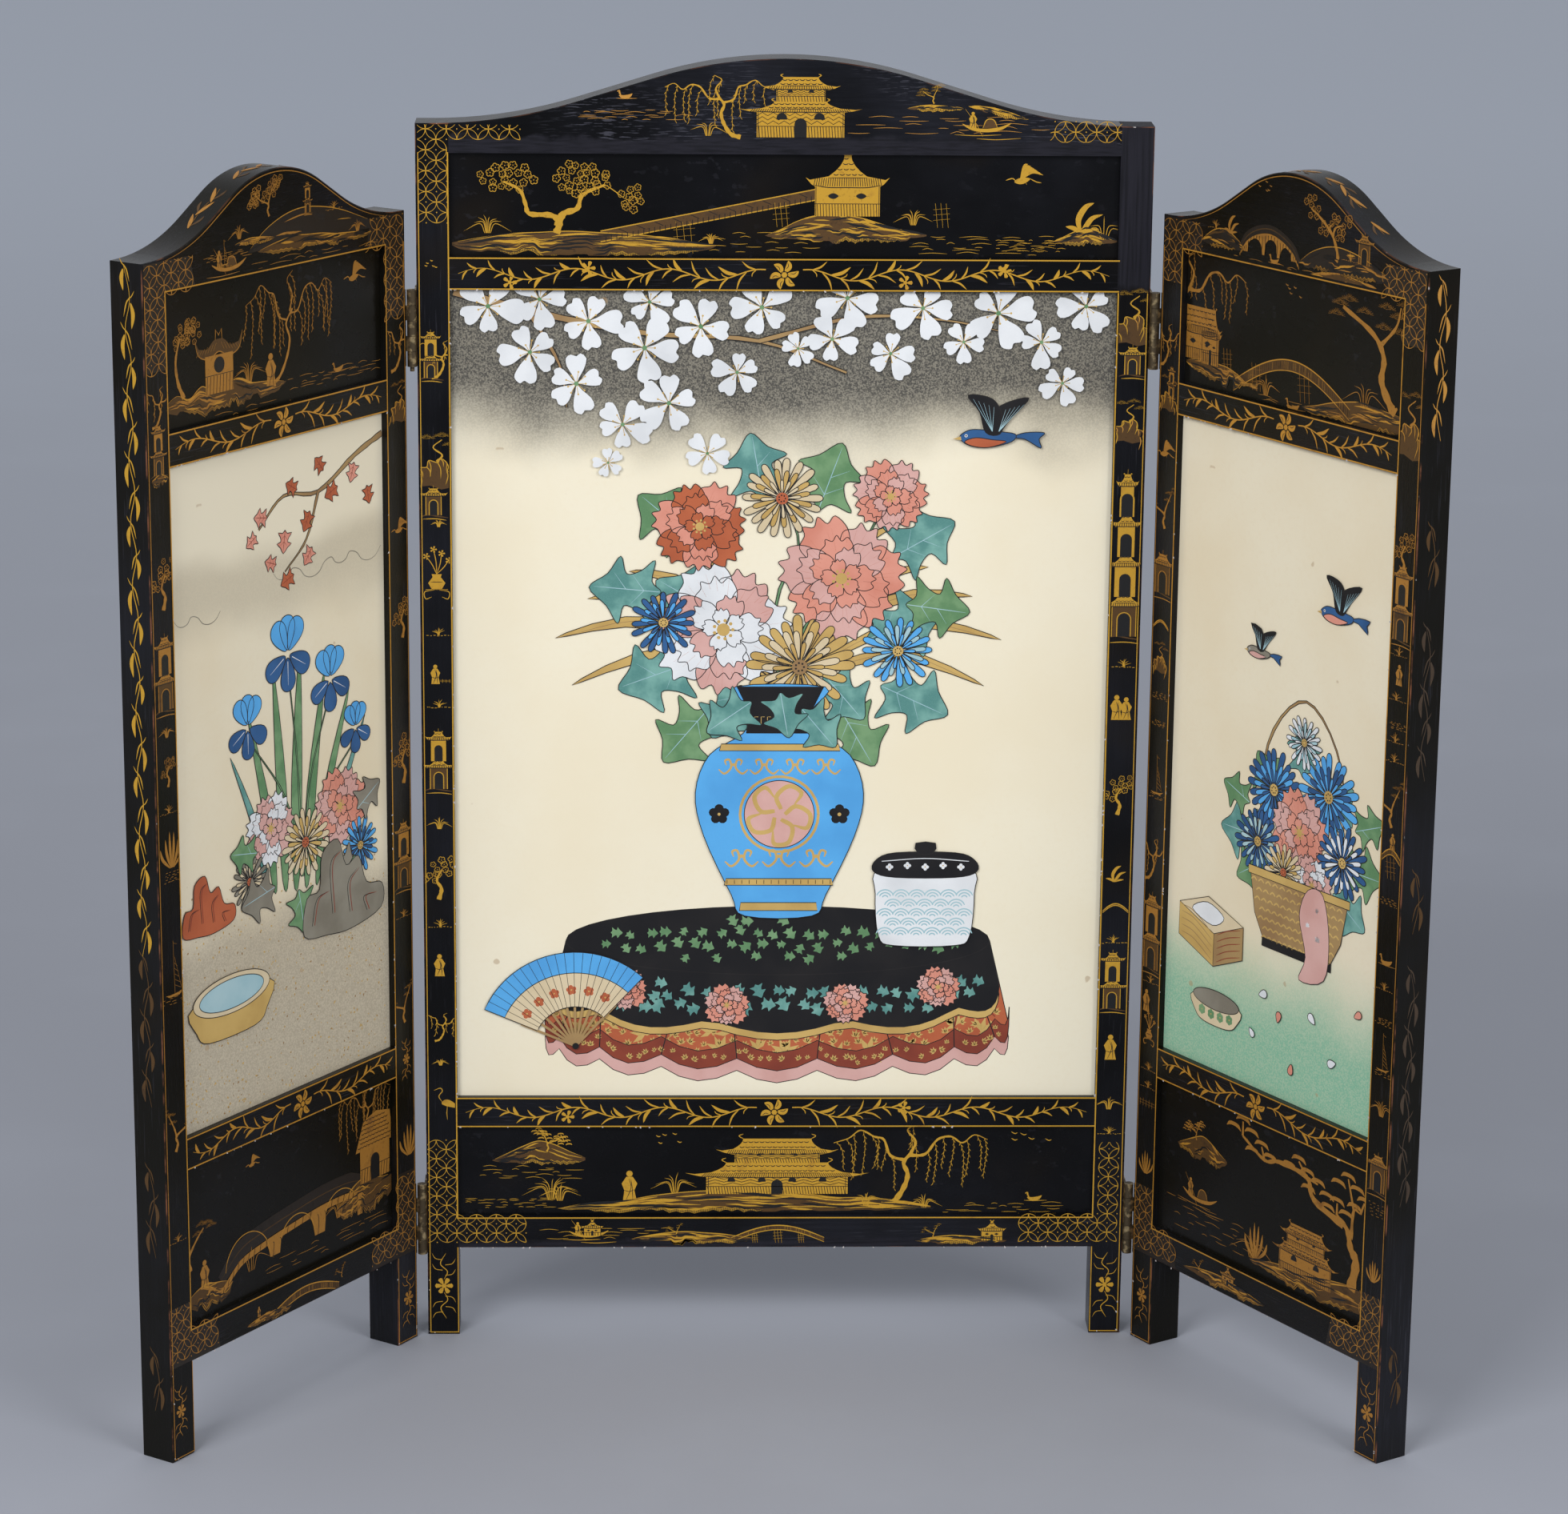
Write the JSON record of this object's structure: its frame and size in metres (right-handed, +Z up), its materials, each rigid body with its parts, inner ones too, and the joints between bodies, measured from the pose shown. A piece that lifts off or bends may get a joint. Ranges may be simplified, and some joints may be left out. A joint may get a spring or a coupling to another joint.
{
  "type": "folding screen",
  "caption": "Low folding screen of framed lacquer leaves with arched crests, picture panels and short legs; the side leaves fold forward on butt hinges.",
  "frame": {"origin": "on the floor, under the middle of the bounding box of the screen as it stands", "axes": "+Z up; the painted front faces -Y; +X to the right of someone facing the front"},
  "size_m": [1.0292, 0.3122, 1.1035],
  "materials": {
    "black_lacquer": "black lacquer with gilt ornament",
    "picture_board": "varnished painted board",
    "brass": "tarnished"
  },
  "bodies": {
    "centre": {"centre_left_stile": "black_lacquer", "centre_right_stile": "black_lacquer", "centre_bottom_rail": "black_lacquer", "centre_lower_rail": "black_lacquer", "centre_upper_rail": "black_lacquer", "centre_crest_rail": "black_lacquer", "centre_lower_panel": "black_lacquer", "centre_lower_back_board": "black_lacquer", "centre_picture_panel": "picture_board", "centre_picture_back_board": "black_lacquer", "centre_upper_panel": "black_lacquer", "centre_upper_back_board": "black_lacquer", "upper_left_hinge_centre_leaf": "brass", "upper_left_hinge_pin": "brass", "lower_left_hinge_centre_leaf": "brass", "lower_left_hinge_pin": "brass", "upper_right_hinge_centre_leaf": "brass", "upper_right_hinge_pin": "brass", "lower_right_hinge_centre_leaf": "brass", "lower_right_hinge_pin": "brass", "left_hinge_screws_in_centre": "brass", "right_hinge_screws_in_centre": "brass"},
    "left_wing": {"left_wing_outer_stile": "black_lacquer", "left_wing_inner_stile": "black_lacquer", "left_wing_bottom_rail": "black_lacquer", "left_wing_lower_rail": "black_lacquer", "left_wing_upper_rail": "black_lacquer", "left_wing_crest_rail": "black_lacquer", "left_wing_lower_panel": "black_lacquer", "left_wing_lower_back_board": "black_lacquer", "left_wing_picture_panel": "picture_board", "left_wing_picture_back_board": "black_lacquer", "left_wing_upper_panel": "black_lacquer", "left_wing_upper_back_board": "black_lacquer", "upper_left_hinge_wing_leaf": "brass", "lower_left_hinge_wing_leaf": "brass", "left_hinge_screws_in_wing": "brass"},
    "right_wing": {"right_wing_inner_stile": "black_lacquer", "right_wing_outer_stile": "black_lacquer", "right_wing_bottom_rail": "black_lacquer", "right_wing_lower_rail": "black_lacquer", "right_wing_upper_rail": "black_lacquer", "right_wing_crest_rail": "black_lacquer", "right_wing_lower_panel": "black_lacquer", "right_wing_lower_back_board": "black_lacquer", "right_wing_picture_panel": "picture_board", "right_wing_picture_back_board": "black_lacquer", "right_wing_upper_panel": "black_lacquer", "right_wing_upper_back_board": "black_lacquer", "upper_right_hinge_wing_leaf": "brass", "lower_right_hinge_wing_leaf": "brass", "right_hinge_screws_in_wing": "brass"}
  },
  "joints": [
    {"name": "left_wing_fold", "type": "hinge", "parent": "centre", "child": "left_wing", "pos_m": [-0.29843, 0.12111, 0.5], "axis": [0, 0, 1], "range_deg": [-64.3, 124.7]},
    {"name": "right_wing_fold", "type": "hinge", "parent": "centre", "child": "right_wing", "pos_m": [0.30957, 0.12111, 0.5], "axis": [0, 0, -1], "range_deg": [-66.8, 115.2]}
  ]
}
